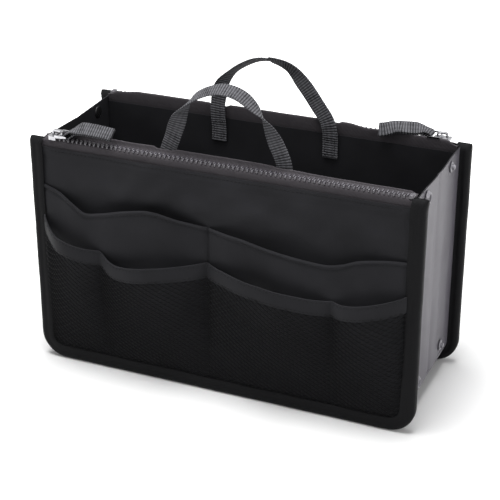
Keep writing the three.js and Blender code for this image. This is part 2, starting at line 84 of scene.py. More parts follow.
def linear(hex_colour):
    channels = [int(hex_colour[start:start + 2], 16) / 255 for start in (1, 3, 5)]
    return [c / 12.92 if c <= 0.04045 else ((c + 0.055) / 1.055) ** 2.4 for c in channels] + [1.0]


# A wave texture makes one band every 0.1 pi metres at scale 1.
def bands_every(length_mm):
    return 0.1 * math.pi / (length_mm * MM)


# A noise texture makes about one blotch every metre at scale 1.
def blotches_of(length_mm):
    return 1 / (length_mm * MM)


print("example: #808080 is", round(linear("#808080")[0], 3), "in linear light")

# %% [markdown]
# ## How a finish starts and ends
# The finishes differ in their patterns, but they start and end alike. Each starts with the values
# that are the same all over, and with the place its pattern lies on: the flat cloth's own UV map, or
# Object coordinates on other pieces. Each ends with blotches that mix two near colours and two near
# roughnesses, because no real surface is even, and with a relief where threads stand up.

# %% Start and end of a finish
def start_finish(name, on_cloth=False, **sockets):
    finish = bpy.data.materials.new(name)
    finish.use_nodes = True
    tree = finish.node_tree
    shader = tree.nodes["Principled BSDF"]
    for socket, value in sockets.items():
        shader.inputs[socket.replace("_", " ")].default_value = value
    if on_cloth:
        place = add_node(tree, "ShaderNodeUVMap", uv_map="UVMap").outputs["UV"]
    else:
        place = add_node(tree, "ShaderNodeTexCoord").outputs["Object"]
    return finish, tree, shader, place


# The blotches mix each pair; a relief is a height, a strength and a depth in millimetres.
def end_finish(tree, shader, blotches, colours, roughness=None, relief=None):
    shade = add_node(tree, "ShaderNodeMix", {0: blotches, 6: linear(colours[0]), 7: linear(colours[1])},
                     data_type="RGBA")
    tree.links.new(shade.outputs[2], shader.inputs["Base Color"])
    if roughness:
        smooth, rough = roughness
        gloss = add_node(tree, "ShaderNodeMapRange", {"Value": blotches, "To Min": smooth,
                                                      "To Max": rough})
        tree.links.new(gloss.outputs[0], shader.inputs["Roughness"])
    if relief:
        height, strength, depth = relief
        bump = add_node(tree, "ShaderNodeBump", {"Height": height, "Strength": strength,
                                                 "Distance": depth * MM})
        tree.links.new(bump.outputs[0], shader.inputs["Normal"])


# %% [markdown]
# ## Floor, light and camera
# The object stands on a white sweep in soft light from all round, with a broad lamp above and a
# weaker one on each side. World and floor are white to the camera and to reflections. As lights they
# are weaker, so that a colour renders about as it is written and light from below does not flatten
# the folds of black cloth. The floor keeps the shadow near the object and is plain white further out.

# %% World and floor
WHITE = (1, 1, 1, 1)
WORLD_LIGHT = 0.29
SHADOW_REACH, PLAIN_WHITE = 0.15, 0.6


# 1 for the rays that show a surface to the eye, directly or in metal or glass, and 0 for the others.
def seen_by_eye(tree):
    path = add_node(tree, "ShaderNodeLightPath")
    seen = path.outputs["Is Camera Ray"]
    for ray in ("Is Glossy Ray", "Is Transmission Ray"):
        either = add_node(tree, "ShaderNodeMath", {0: seen, 1: path.outputs[ray]}, operation="MAXIMUM")
        seen = either.outputs[0]
    return seen


world = bpy.data.worlds.new("white_sweep")
scene.world = world
world.use_nodes = True
tree = world.node_tree
strength = add_node(tree, "ShaderNodeMapRange", {"Value": seen_by_eye(tree), "To Min": WORLD_LIGHT,
                                                 "To Max": 1.0})
tree.links.new(strength.outputs[0], tree.nodes["Background"].inputs["Strength"])
tree.nodes["Background"].inputs["Color"].default_value = WHITE

sweep, tree, shader, place = start_finish("white_paper_sweep", Roughness=0.9, Specular_IOR_Level=0.0,
                                          Emission_Color=WHITE)
seen = seen_by_eye(tree)
end_finish(tree, shader, seen, ("#bebebe", "#f0f0f0"))
far = add_node(tree, "ShaderNodeVectorMath", {0: place}, operation="LENGTH")
whiter = add_node(tree, "ShaderNodeMapRange", {"Value": far.outputs["Value"], "From Min": SHADOW_REACH,
                                               "From Max": PLAIN_WHITE})
lift = add_node(tree, "ShaderNodeMath", {0: seen, 1: whiter.outputs[0]}, operation="MULTIPLY")
tree.links.new(lift.outputs[0], shader.inputs["Emission Strength"])

bm = bmesh.new()
bmesh.ops.create_grid(bm, x_segments=2, y_segments=2, size=6)
mesh = bpy.data.meshes.new("paper_floor")
bm.to_mesh(mesh)
bm.free()
floor = bpy.data.objects.new("paper_floor", mesh)
floor.data.materials.append(sweep)
scene.collection.objects.link(floor)
print("floor", [round(side, 1) for side in floor.dimensions], "m")

# %% Lamps
AIM = Vector((0, 0, 0.1))


def lamp(name, place, size, watts):
    light = bpy.data.lights.new(name, "AREA")
    light.shape = "DISK"
    light.size = size
    light.energy = watts
    holder = bpy.data.objects.new(name, light)
    holder.location = place
    holder.rotation_euler = (AIM - Vector(place)).to_track_quat("-Z", "Y").to_euler()
    scene.collection.objects.link(holder)


lamp("lamp_above", (-0.08, -0.12, 1.6), 1.1, 34)
lamp("lamp_left", (-1.5, -1.0, 0.9), 0.7, 5)
lamp("lamp_right", (1.6, -0.5, 0.8), 0.7, 8)
scene.view_settings.view_transform = "Standard"

# %% Camera
camera = bpy.data.objects.new("camera", bpy.data.cameras.new("camera"))
AZIMUTH, ELEVATION, DISTANCE = math.radians(23.25), math.radians(25.66), 1.0704
target = Vector((0.00008, 0, 0.09168))
away = Vector((math.sin(AZIMUTH) * math.cos(ELEVATION),
               -math.cos(AZIMUTH) * math.cos(ELEVATION), math.sin(ELEVATION)))
camera.location = target + DISTANCE * away
camera.rotation_euler = (-away).to_track_quat("-Z", "Y").to_euler()
camera.data.sensor_width = 36
camera.data.lens = 103.2
scene.collection.objects.link(camera)
scene.camera = camera
print("camera at", [round(value, 3) for value in camera.location])

# %% [markdown]
# ## Pieces in pairs
# The back wall is the front wall turned half round, so each mesh is drawn once and its twin is a
# copy turned about the upright axis. A piece of cloth starts as a flat grid; each crossing is then
# moved to its place, as a tailor pins a panel, and the flat cloth is kept as the UV map for weaves.

# %% Grid and piece
def cloth_grid(columns, rows, place, size):
    bm = bmesh.new()
    weave = bm.loops.layers.uv.new("UVMap")
    bmesh.ops.create_grid(bm, x_segments=columns, y_segments=rows, size=1)
    reach = max(vert.co.x for vert in bm.verts)
    share = {vert: ((vert.co.x / reach + 1) / 2, (vert.co.y / reach + 1) / 2) for vert in bm.verts}
    for face in bm.faces:
        for loop in face.loops:
            u, v = share[loop.vert]
            loop[weave].uv = (u * size[0] * MM, v * size[1] * MM)
    for vert, (u, v) in share.items():
        vert.co = place(u, v)
    return bm


def make_piece(bm, name, body, finishes, nodes=()):
    bmesh.ops.scale(bm, vec=(MM, MM, MM), verts=bm.verts)
    for edge in bm.edges:
        edge.smooth = not edge.is_boundary
    mesh = bpy.data.meshes.new(name)
    bm.to_mesh(mesh)
    bm.free()
    for polygon in mesh.polygons:
        polygon.use_smooth = True
    piece = bpy.data.objects.new(name, mesh)
    scene.collection.objects.link(piece)
    for finish in finishes:
        mesh.materials.append(finish)
    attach(piece, body)
    if nodes:
        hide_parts(*nodes)
    return piece


# %% Twins and the thickness of cloth
WALLS = ("front", "back")


def turn_half_round(bm):
    bmesh.ops.rotate(bm, cent=(0, 0, 0), matrix=Matrix.Rotation(math.pi, 3, "Z"), verts=bm.verts)


def make_twins(bm, names, bodies, finishes, nodes=((), ())):
    other = bm.copy()
    turn_half_round(other)
    return [make_piece(mesh, name, body, finishes, replaced)
            for mesh, name, body, replaced in zip((bm, other), names, bodies, nodes)]


# A word with {} in it gets front for one twin and back for the other.
def on_walls(word):
    return [word.format(wall) for wall in WALLS]


def wall_twins(bm, name, slot, finishes, *nodes):
    replaced = [[node.format(wall) for node in nodes] for wall in WALLS]
    return make_twins(bm, on_walls(name), on_walls("{}_wall"), finishes, replaced)


# A cloth's thickness grows inwards from the face that shows.
def thicken(pieces, thick_mm, inside=0, rim=0):
    for piece in pieces:
        wall = piece.modifiers.new("cloth_thickness", "SOLIDIFY")
        wall.thickness = thick_mm * MM
        wall.offset = -1
        wall.material_offset = inside
        wall.material_offset_rim = rim


def faces_of(pieces):
    return [len(piece.data.polygons) for piece in pieces]


# %% Measures and soft lines
LENGTH, HEIGHT, HALF_DEPTH, CORNER = 300, 180, 57.5, 20


# Depth is measured inwards from the front wall's outer face.
def face_y(depth):
    return depth - HALF_DEPTH


def part_way(value, low, high):
    return min(max((value - low) / (high - low), 0), 1)


def smooth_step(value, low, high):
    share = part_way(value, low, high)
    return share * share * (3 - 2 * share)


# Soft unevenness of hand-sewn cloth, between -1 and 1.
def unevenness(a, b, size, seed):
    return noise.noise(Vector((a / size, b / size, seed)))


# Even steps along a line that is given by any number of points.
def even_line(points):
    runs = [0]
    for before, after in zip(points, points[1:]):
        runs.append(runs[-1] + (after - before).length)

    def at(share):
        run = share * runs[-1]
        index = min(max(bisect.bisect(runs, run) - 1, 0), len(points) - 2)
        part = (run - runs[index]) / (runs[index + 1] - runs[index])
        return points[index].lerp(points[index + 1], part)

    return at, runs[-1]


print("wall", LENGTH, "x", HEIGHT, "mm, walls", 2 * HALF_DEPTH, "mm apart outside")

# %% [markdown]
# ## Black nylon
# The walls and slip pockets are plain-woven nylon with a thin coating: nearly black and almost
# without gloss, so that its folds show as soft steps of grey. The threads are about 0.4 mm apart,
# which is finer than a pixel here, so the weave is drawn at 1 mm to show at all. Slow blotches vary
# the roughness, because handling polishes coated cloth unevenly.

# %% Coated nylon
# In a plain weave the threads of both ways pass over each other, so their heights multiply.
def plain_weave(tree, cloth, spacing):
    warp, weft = [add_node(tree, "ShaderNodeTexWave", {"Vector": cloth, "Scale": bands_every(spacing)},
                           bands_direction=way).outputs["Fac"] for way in "XY"]
    return add_node(tree, "ShaderNodeMath", {0: warp, 1: weft}, operation="MULTIPLY").outputs[0]


nylon, tree, shader, cloth = start_finish("plain_weave_nylon", on_cloth=True, IOR=1.5,
                                          Specular_IOR_Level=0.04, Sheen_Weight=0.02, Sheen_Roughness=0.5)
slub = add_node(tree, "ShaderNodeTexNoise", {"Vector": cloth, "Scale": blotches_of(45), "Detail": 3.0})
end_finish(tree, shader, slub.outputs["Fac"], ("#212123", "#333336"), (0.36, 0.5),
           (plain_weave(tree, cloth, 1.0), 0.25, 0.15))
print("made", nylon.name)

# %% [markdown]
# ## Outer panels
# The outside of a wall is one flat panel of padded nylon over a stiff sheet, held by the binding and
# the zip. Only the strip above the pockets shows, and there the cloth is not quite flat: it swells a
# little between its seams and pulls in long shallow waves. A grid follows the round lower corners.

# %% Outer panels
PANEL_TOP, PANEL_SIDE, PANEL_DEPTH = 173.6, 148, 1.8
HELD_FLAT, HANGS_FREE = 128, 150
SWELL, SWELL_LOW, SWELL_HIGH = 2.8, 120, 178


def lower_edge(x, inset):
    into = max(abs(x) - (LENGTH / 2 - CORNER), 0)
    radius = CORNER - inset
    return CORNER - math.sqrt(max(radius * radius - into * into, 0))


def panel_place(u, v):
    x = PANEL_SIDE * (2 * u - 1)
    low = lower_edge(x, LENGTH / 2 - PANEL_SIDE)
    z = low + (PANEL_TOP - low) * v
    above = smooth_step(z, HELD_FLAT, HANGS_FREE)
    swell = above * math.sin(math.pi * u) ** 0.6 * math.sin(math.pi * part_way(z, SWELL_LOW, SWELL_HIGH))
    waves = 2.8 * unevenness(x + 0.9 * z, 1.5 * z, 40, 2.0) + 2.0 * unevenness(x - 0.6 * z, 0.8 * z, 19, 3.0)
    swell *= max(SWELL + waves, 0.2)
    fold_over = -0.5 * smooth_step(z, PANEL_TOP - 7, PANEL_TOP - 6)
    return Vector((x, face_y(PANEL_DEPTH - swell + fold_over), z))


panels = wall_twins(cloth_grid(140, 84, panel_place, (2 * PANEL_SIDE, PANEL_TOP)), "{}_panel_cloth",
                    "black_nylon", [nylon], "{}_outer_panel")
thicken(panels, 0.4)
print("panels", faces_of(panels), "faces")

# %% [markdown]
# ## Pocket shapes
# Each wall carries two pockets, one over the other, sewn down at the binding and along upright
# seams. Between seams the cloth stands off the wall, most at the mouth. A pocket in use does not
# hang evenly, so the mouths follow a few measured points, joined by a smooth line.

# %% Mouths and stand-off of the pockets
POCKET_END, POCKET_FOOT, MIDDLE_SEAM = 141, 9, -8.1
SLIP_OFF, NET_OFF = 8.5, 10.5
SLIP_SEAMS = [-POCKET_END, MIDDLE_SEAM, POCKET_END]
NET_SEAMS = [-POCKET_END, -90.9, MIDDLE_SEAM, 89.1, POCKET_END]
SLIP_MOUTH = [(-141, 145), (-126, 141), (-114, 135), (-103, 130), (-90, 132.5), (-77, 136), (-65, 138.6),
              (-52, 140.6), (-41, 139.7), (-29, 137), (-17, 134.5), (-8.1, 133), (6, 132.6), (34, 129.4),
              (62, 126.2), (83, 124.6), (95, 127), (106, 130.8), (123, 133.2), (141, 134)]
NET_MOUTH = [(-141, 121), (-128, 111), (-116, 108), (-103, 105), (-91, 102.5), (-83, 98), (-75, 96.3),
             (-58, 98.4), (-42, 101.3), (-26, 103.8), (-8.1, 106), (9, 105.5), (25, 104.3), (44, 102.8),
             (66, 100.6), (89, 98.5), (107, 101.5), (125, 105.6), (141, 109)]


def along_points(points, x):
    last = len(points) - 1
    index = min(max(bisect.bisect([p[0] for p in points], x) - 1, 0), last - 1)

    def slope(k):
        before, after = points[max(k - 1, 0)], points[min(k + 1, last)]
        return (after[1] - before[1]) / (after[0] - before[0])

    (x0, z0), (x1, z1) = points[index], points[index + 1]
    t = part_way(x, x0, x1)
    return (z0 * (1 + 2 * t) * (1 - t) ** 2 + z1 * t * t * (3 - 2 * t)
            + (x1 - x0) * t * (1 - t) * (slope(index) * (1 - t) - slope(index + 1) * t))


def stand_off(x, z, seams, most, top):
    index = min(max(bisect.bisect(seams, x) - 1, 0), len(seams) - 2)
    before, after = seams[index], seams[index + 1]
    across = math.sin(math.pi * part_way(x, before, after)) ** 0.75
    return min(most, 0.2 * (after - before)) * across * math.sin(math.pi / 2 * part_way(z, POCKET_FOOT, top))


def slip_depth(x, z):
    return 0.9 - stand_off(x, z, SLIP_SEAMS, SLIP_OFF, along_points(SLIP_MOUTH, x))


def net_depth(x, z):
    edge = 1 - smooth_step(abs(x), POCKET_END - 4, POCKET_END)
    off = stand_off(x, z, NET_SEAMS, NET_OFF, along_points(NET_MOUTH, x))
    return slip_depth(x, z) - 0.5 - 0.4 * edge - off


print("mouths at the middle seam:", [along_points(mouth, MIDDLE_SEAM) for mouth in (SLIP_MOUTH, NET_MOUTH)])

# %% [markdown]
# ## Slip pockets
# A slip pocket is a second panel of the same nylon, turned over at the mouth into a narrow hem and
# caught by one seam near the middle. The hem is a roll of cloth above a row of stitches that pull in;
# below it the cloth falls in shallow upright waves.

# %% Slip pockets
HEM, SLIP_FLAT = 3.6, (296, 140)


def slip_place(u, v):
    x = POCKET_END * (2 * u - 1)
    low = lower_edge(x, POCKET_FOOT)
    top = along_points(SLIP_MOUTH, x)
    z = low + (top - low) * v
    free = min(stand_off(x, z, SLIP_SEAMS, SLIP_OFF, top) / 4, 1)
    waves = 0.9 * free * unevenness(x + 0.3 * z, 0.3 * z, 17, 5.0)
    waves += 2.0 * free * unevenness(x, 0.7 * z, 38, 6.0)
    waves -= 0.8 * math.exp(-((x - MIDDLE_SEAM) / 1.3) ** 2)
    roll = 0.8 * math.sin(math.pi * min(max((z - top + HEM) / HEM, 0), 1))
    pulled = 0.5 * math.exp(-((z - top + HEM) / 0.8) ** 2)
    return Vector((x, face_y(slip_depth(x, z) - waves - roll + pulled), z))


slips = wall_twins(cloth_grid(188, 150, slip_place, SLIP_FLAT), "{}_slip_cloth", "black_nylon", [nylon],
                   "{}_slip_pocket")
thicken(slips, 0.7)
print("slip pockets", faces_of(slips), "faces")

# %% [markdown]
# ## Knitted net
# The net is warp-knitted black polyester yarn: diamonds 5.6 mm wide and 4.3 mm high, with soft
# yarn that shines a little along its length. The yarn's own twist is drawn as fine bands.

# %% Net yarn
yarn, tree, shader, place = start_finish("knitted_polyester_yarn", IOR=1.5, Specular_IOR_Level=0.1,
                                         Sheen_Weight=0.02, Sheen_Roughness=0.4)
twist = add_node(tree, "ShaderNodeTexWave", {"Vector": place, "Scale": bands_every(0.5), "Distortion": 1.5},
                 bands_direction="DIAGONAL")
fuzz = add_node(tree, "ShaderNodeTexNoise", {"Vector": place, "Scale": blotches_of(2), "Detail": 2.0})
end_finish(tree, shader, fuzz.outputs["Fac"], ("#0a0a0b", "#141416"), (0.5, 0.7),
           (twist.outputs["Fac"], 0.4, 0.08))
print("made", yarn.name)

# %% [markdown]
# ## Net pockets
# A picture of a net on a sheet would look flat at the edges, so the net is real: a grid is turned
# an eighth of a turn and stretched until its squares are the net's diamonds, trimmed to the pocket
# with straight cuts, laid over the pocket's curve, and each edge becomes a strand.

# %% Net pockets
DIAMOND_WIDE, DIAMOND_HIGH, STRAND = 5.6, 4.3, 1.0
NET_HEM, NET_HIGH, TRIM, CELLS = 12, 92, 0.5, 44


def net_top(x):
    return along_points(NET_MOUTH, x) - NET_HEM + 1


bm = bmesh.new()
bmesh.ops.create_grid(bm, x_segments=2 * CELLS, y_segments=2 * CELLS, size=1)
half_diagonal = math.sqrt(0.5) * max(vert.co.x for vert in bm.verts) / CELLS
bmesh.ops.rotate(bm, cent=(0, 0, 0), matrix=Matrix.Rotation(math.pi / 4, 3, "Z"), verts=bm.verts)
stretch = (DIAMOND_WIDE / 2 / half_diagonal, DIAMOND_HIGH / 2 / half_diagonal, 1)
bmesh.ops.scale(bm, vec=stretch, verts=bm.verts)
for point, outwards in (((POCKET_END - TRIM, 0, 0), (1, 0, 0)), ((TRIM - POCKET_END, 0, 0), (-1, 0, 0)),
                        ((0, NET_HIGH / 2, 0), (0, 1, 0)), ((0, -NET_HIGH / 2, 0), (0, -1, 0))):
    everything = bm.verts[:] + bm.edges[:] + bm.faces[:]
    bmesh.ops.bisect_plane(bm, geom=everything, plane_co=point, plane_no=outwards, clear_outer=True)
for vert in bm.verts:
    x = vert.co.x
    low = lower_edge(x, POCKET_FOOT + TRIM)
    z = low + (net_top(x) - low) * (vert.co.y / NET_HIGH + 0.5)
    vert.co = Vector((x, face_y(net_depth(x, z)), z))
bmesh.ops.recalc_face_normals(bm, faces=bm.faces)
nets = wall_twins(bm, "{}_net", "black_net", [yarn], "{}_net_pocket")
for net, wall in zip(nets, WALLS):
    strands = net.modifiers.new("strands", "WIREFRAME")
    strands.thickness = STRAND * MM
    strands.offset = 0
    strands.use_even_offset = False
    strands.use_boundary = True
print("nets", faces_of(nets), "diamonds")

# %% [markdown]
# ## Net hems
# The mouth of a net is held by a folded band of the pockets' nylon, 12 mm high. It is a strip of cloth
# that follows the pocket's curve and rolls over at its upper edge.

# %% Net hems
HEM_LONG = 300


def hem_place(u, v):
    x = (POCKET_END - TRIM) * (2 * u - 1)
    top = along_points(NET_MOUTH, x)
    z = top - NET_HEM * (1 - v)
    free = min(stand_off(x, z, NET_SEAMS, NET_OFF, top) / 4, 1)
    waves = 0.5 * free * unevenness(x, 0.2 * z, 13, 9.0)
    puff = 0.35 * math.sin(math.pi * v) ** 0.5
    return Vector((x, face_y(net_depth(x, z) - 0.45 - puff - waves), z))


hems = wall_twins(cloth_grid(200, 10, hem_place, (HEM_LONG, NET_HEM)), "{}_hem_tape", "black_binding",
                  [nylon], "{}_net_hem")
thicken(hems, 1.0)
print("hems", faces_of(hems), "faces")

# %% [markdown]
# ## Binding tape
# The walls' edges are covered with a flat black tape. It is ribbed across its length, about 0.6 mm a
# rib, drawn at 1.2 mm so that the ribs catch the light here. Lint makes it a slightly uneven black.

# %% Ribbed tape
tape, tree, shader, cloth = start_finish("ribbed_binding_tape", on_cloth=True, IOR=1.5,
                                         Specular_IOR_Level=0.1, Sheen_Weight=0.02, Sheen_Roughness=0.5)
ribs = add_node(tree, "ShaderNodeTexWave", {"Vector": cloth, "Scale": bands_every(1.2)}, bands_direction="X")
lint = add_node(tree, "ShaderNodeTexNoise", {"Vector": cloth, "Scale": blotches_of(9), "Detail": 4.0})
end_finish(tree, shader, lint.outputs["Fac"], ("#080809", "#121214"), (0.55, 0.75),
           (ribs.outputs["Fac"], 0.3, 0.12))
print("made", tape.name)

# %% [markdown]
# ## Edge binding
# The panel, the stiff sheet and the folding side meet in one flat edge, and the tape is folded round
# it: 10 mm on the outside, round the edge, 10 mm on the inside. The tape's section is swept down one
# side, round the corner, along the bottom and up again; its ends are tucked in.

# %% Outline of the wall
BINDING, EDGE_THICK, BINDING_TOP, ROUND = 10, 6.6, 179.6, 2.0
STRAIGHT = BINDING_TOP - CORNER
TURN = CORNER * math.pi / 2
BOTTOM = LENGTH - 2 * CORNER
EDGE_LENGTH = 2 * STRAIGHT + 2 * TURN + BOTTOM


# Where the wall's outline is after a length along it from the top left, and which way is inwards.
def edge_at(run):
    half = LENGTH / 2
    if run <= STRAIGHT:
        return Vector((-half, 0, BINDING_TOP - run)), Vector((1, 0, 0))
    if run <= STRAIGHT + TURN:
        turn = math.pi + (run - STRAIGHT) / CORNER
        inwards = -Vector((math.cos(turn), 0, math.sin(turn)))
        return Vector((CORNER - half, 0, CORNER)) - CORNER * inwards, inwards
    if run <= STRAIGHT + TURN + BOTTOM:
        return Vector((CORNER - half + run - STRAIGHT - TURN, 0, 0)), Vector((0, 0, 1))
    point, inwards = edge_at(EDGE_LENGTH - run)
    return Vector((-point.x, 0, point.z)), Vector((-inwards.x, 0, inwards.z))


# %% Edge binding
TAPE_FLAT, TUCK, FLARE, FLARE_LONG = 27, 2.2, 0.9, 9


# The folded tape's section: inset from the edge and depth from the outer face, from 0 to 1 round it.
def fold_at(v):
    face, bend = BINDING - ROUND, ROUND * math.pi / 2
    side = EDGE_THICK - 2 * ROUND
    run = v * (2 * face + 2 * bend + side)
    if run > face + bend + side / 2:
        inset, depth = fold_at(1 - v)
        return inset, EDGE_THICK - depth
    if run < face:
        puff = 0.55 * abs(math.sin(1.6 * math.pi * run / face)) ** 0.8 * (1 - 0.4 * run / face)
        return BINDING - run, -0.2 - puff
    if run < face + bend:
        turn = (run - face) / ROUND
        depth = ROUND - 0.25 - ROUND * math.cos(turn) + 0.25 * turn * 2 / math.pi
        return ROUND - ROUND * math.sin(turn), depth
    return 0, ROUND + run - face - bend


def binding_place(u, v):
    run = u * EDGE_LENGTH
    point, inwards = edge_at(run)
    inset, depth = fold_at(v)
    from_end = min(run, EDGE_LENGTH - run)
    tuck = math.sqrt(max(1 - (1 - min(from_end / TUCK, 1)) ** 2, 0))
    flare = FLARE * smooth_step(run, EDGE_LENGTH - FLARE_LONG, EDGE_LENGTH)
    middle = EDGE_THICK / 2
    waves = 0.35 * unevenness(run, 6 * v, 22, 11.0) + 0.18 * unevenness(run, 9 * v, 7, 12.0)
    depth = middle + (depth - middle) * (0.1 + 0.9 * tuck) + waves
    inset = 0.8 + inset + (0.25 + 0.45 * smooth_step(inset, 0, 6)) * unevenness(run, 4 * v, 30, 13.0)
    place = point + (inset - flare) * inwards
    return Vector((place.x, face_y(depth), place.z))


bindings = wall_twins(cloth_grid(260, 26, binding_place, (EDGE_LENGTH, TAPE_FLAT)), "{}_binding_tape",
                      "black_binding", [tape], "{}_edge_binding")
thicken(bindings, 0.6)
print("binding", round(EDGE_LENGTH), "mm long,", faces_of(bindings), "faces")

# %% [markdown]
# ## Grey satin
# The folding sides and the base are satin-woven nylon: grey with a cold tinge, smooth, with a soft
# gloss because satin threads float on the face. The diagonal of the weave is drawn at 0.9 mm, about
# twice the real one. Inside, the same pieces are lined with a black cloth in plain weave.

# %% Satin and lining
satin, tree, shader, cloth = start_finish("satin_weave_nylon", on_cloth=True, IOR=1.5, Specular_IOR_Level=0.2,
                                          Sheen_Weight=0.03, Sheen_Roughness=0.35)
twill = add_node(tree, "ShaderNodeTexWave", {"Vector": cloth, "Scale": bands_every(0.9)},
                 bands_direction="DIAGONAL")
slub = add_node(tree, "ShaderNodeTexNoise", {"Vector": cloth, "Scale": blotches_of(30), "Detail": 3.0})
end_finish(tree, shader, slub.outputs["Fac"], ("#55525a", "#625f66"), (0.34, 0.46),
           (twill.outputs["Fac"], 0.15, 0.1))

lining, tree, shader, cloth = start_finish("woven_lining", on_cloth=True, IOR=1.5, Specular_IOR_Level=0.12)
slub = add_node(tree, "ShaderNodeTexNoise", {"Vector": cloth, "Scale": blotches_of(25), "Detail": 3.0})
end_finish(tree, shader, slub.outputs["Fac"], ("#19191b", "#252528"), (0.55, 0.7),
           (plain_weave(tree, cloth, 1.2), 0.25, 0.12))
print("made", satin.name, "and", lining.name)

# %% [markdown]
# ## Seam strips and linings
# Where a folding side is sewn to a wall, a narrow strip of its cloth is fixed: it stands on the
# binding's inner face, 8 mm in from the edge, up to the line where the side starts to turn. The
# inside of a wall is covered by a plain lining between these strips.

# %% Seam strips
FLANGE, FOLD_DEPTH, LINED = 8, 14, 0.9
STRIP_WIDE, STRIP_END, STRIP_SUNK = 8, 1.6, 0.4


def strip_place(u, v):
    run = STRIP_END + (1 - u) * (EDGE_LENGTH - 2 * STRIP_END)
    point, inwards = edge_at(run)
    place = point + FLANGE * inwards
    depth = EDGE_THICK - STRIP_SUNK + (FOLD_DEPTH - EDGE_THICK + STRIP_SUNK) * v
    return Vector((place.x, face_y(depth), place.z))


strips = wall_twins(cloth_grid(160, 4, strip_place, (EDGE_LENGTH, STRIP_WIDE)), "{}_strip_satin",
                    "grey_satin", [satin, lining], "{}_seam_strip")
thicken(strips, LINED, inside=1, rim=1)
print("strips", faces_of(strips), "faces")

# %% Linings
LINING_SIDE, LINING_TOP, LINING_DEPTH = 140.8, 174.4, 10.9


def lining_place(u, v):
    x = LINING_SIDE * (1 - 2 * u)
    low = lower_edge(x, LENGTH / 2 - LINING_SIDE)
    z = low + (LINING_TOP - low) * v
    inside = math.sin(math.pi * u) * math.sin(math.pi * v)
    waves = 0.6 * inside * unevenness(x, 0.7 * z, 38, 17.0)
    return Vector((x, face_y(LINING_DEPTH + waves), z))


linings = wall_twins(cloth_grid(90, 56, lining_place, (2 * LINING_SIDE, LINING_TOP)), "{}_lining_cloth",
                     "black_lining", [lining], "{}_lining_panel")
thicken(linings, 0.8)
print("linings", faces_of(linings), "faces")

# %% [markdown]
# ## Folding sides
# Each side is one piece of satin that creases down its middle. It is drawn as two halves, because
# each half moves with its own body, and they meet exactly on the crease. The cloth is not tight: it
# bows a little between its seams, and pulls in round the snaps.

# %% Folding sides
GUSSET_X, FOLD_Y, GUSSET_LOW, GUSSET_TOP, TOP_SAG = 142, 43.5, 20, 178, 1.3
SNAP_Y, SNAP_HEIGHTS = 29.58, {"upper": 170.5, "lower": 26.8}


def side_place(u, v):
    y = -FOLD_Y * (1 - u)
    top = GUSSET_TOP - TOP_SAG * math.sin(math.pi / 2 * u) ** 2
    z = GUSSET_LOW + (top - GUSSET_LOW) * v
    free = math.sin(math.pi * u) * math.sin(math.pi * min(v * 1.15, 1))
    waves = 1.3 * free * unevenness(y, 0.3 * z, 22, 21.0) + 0.9 * free * unevenness(y + 0.5 * z, z, 34, 22.0)
    waves -= 0.45 * math.exp(-(y / 3) ** 2)
    pucker = sum(0.5 * math.exp(-((y + SNAP_Y) ** 2 + (z - height) ** 2) / 60)
                 for height in SNAP_HEIGHTS.values())
    return Vector((GUSSET_X + waves - pucker, y, z))


def mirrored_place(place):
    def put(u, v):
        point = place(1 - u, v)
        return Vector((-point.x, point.y, point.z))
    return put


# Both twins of a mesh that is lined and rides on two bodies.
def satin_twins(bm, first, second, bodies, rim=0):
    twins = make_twins(bm, (first + "_satin", second + "_satin"), bodies, [satin, lining],
                       ((first,), (second,)))
    thicken(twins, LINED, inside=1, rim=rim)
    return twins


for first, second, place in (("right_gusset_front", "left_gusset_rear", side_place),
                             ("left_gusset_front", "right_gusset_rear", mirrored_place(side_place))):
    bm = cloth_grid(24, 72, place, (FOLD_Y, GUSSET_TOP - GUSSET_LOW))
    halves = satin_twins(bm, first, second, (first, second), rim=1)
    print(first, "and", second, faces_of(halves), "faces")

# %% [markdown]
# ## Base and soft corners
# The base is two halves of the same satin, cut slanting at the ends so that the sides can fold in
# over it. The soft corners join side and base: a quarter round underneath, then a flat flap up to the
# slant. They ride on the walls.

# %% Base and corners
BASE_Z, CORNER_X, MITRE_X, ARC_SHARE, CORNER_LONG, FOLDED = 8, 130, 124, 0.4, 68, 9.57


def base_place(u, v):
    y = -FOLD_Y * (1 - v)
    half = MITRE_X - FOLD_Y * v
    x = half * (1 - 2 * u)
    sag = 0.5 * math.sin(math.pi * v) * unevenness(x, y, 35, 25.0)
    return Vector((x, y, BASE_Z - sag))


def corner_place(u, v):
    y = -FOLD_Y * (1 - u)
    radius = CORNER - FLANGE
    if v >= 1 - ARC_SHARE:
        turn = (1 - v) / ARC_SHARE * math.pi / 2
        return Vector((CORNER_X + radius * math.cos(turn), y, CORNER - radius * math.sin(turn)))
    end = MITRE_X - FOLD_Y * u
    share = v / (1 - ARC_SHARE)
    return Vector((end + (CORNER_X - end) * share, y, BASE_Z))


bases = satin_twins(cloth_grid(60, 14, base_place, (2 * MITRE_X, FOLD_Y)), "base_front", "base_rear",
                    ("base_front", "base_rear"))
for first, second, place in (("front_right_corner", "back_left_corner", corner_place),
                             ("front_left_corner", "back_right_corner", mirrored_place(corner_place))):
    bm = cloth_grid(20, 30, place, (FOLD_Y, CORNER_LONG))
    corners = satin_twins(bm, first, second, on_walls("{}_wall"))
    for corner, side in zip(corners, (-1, 1)):
        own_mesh(corner)
print("base", faces_of(bases), "faces; corners flatten to", round(FOLDED / (2 * FOLD_Y), 3))

# %% [markdown]
# ## Zip tapes and teeth
# The zip tapes are woven polyester in dark grey, with a herringbone that shows as fine slanting
# lines; it is drawn at 1.6 mm. The teeth are moulded acetal, a little paler and glossy, which is why
# the chain glints. Each tooth is a small block with its edges taken off and a narrower tip.

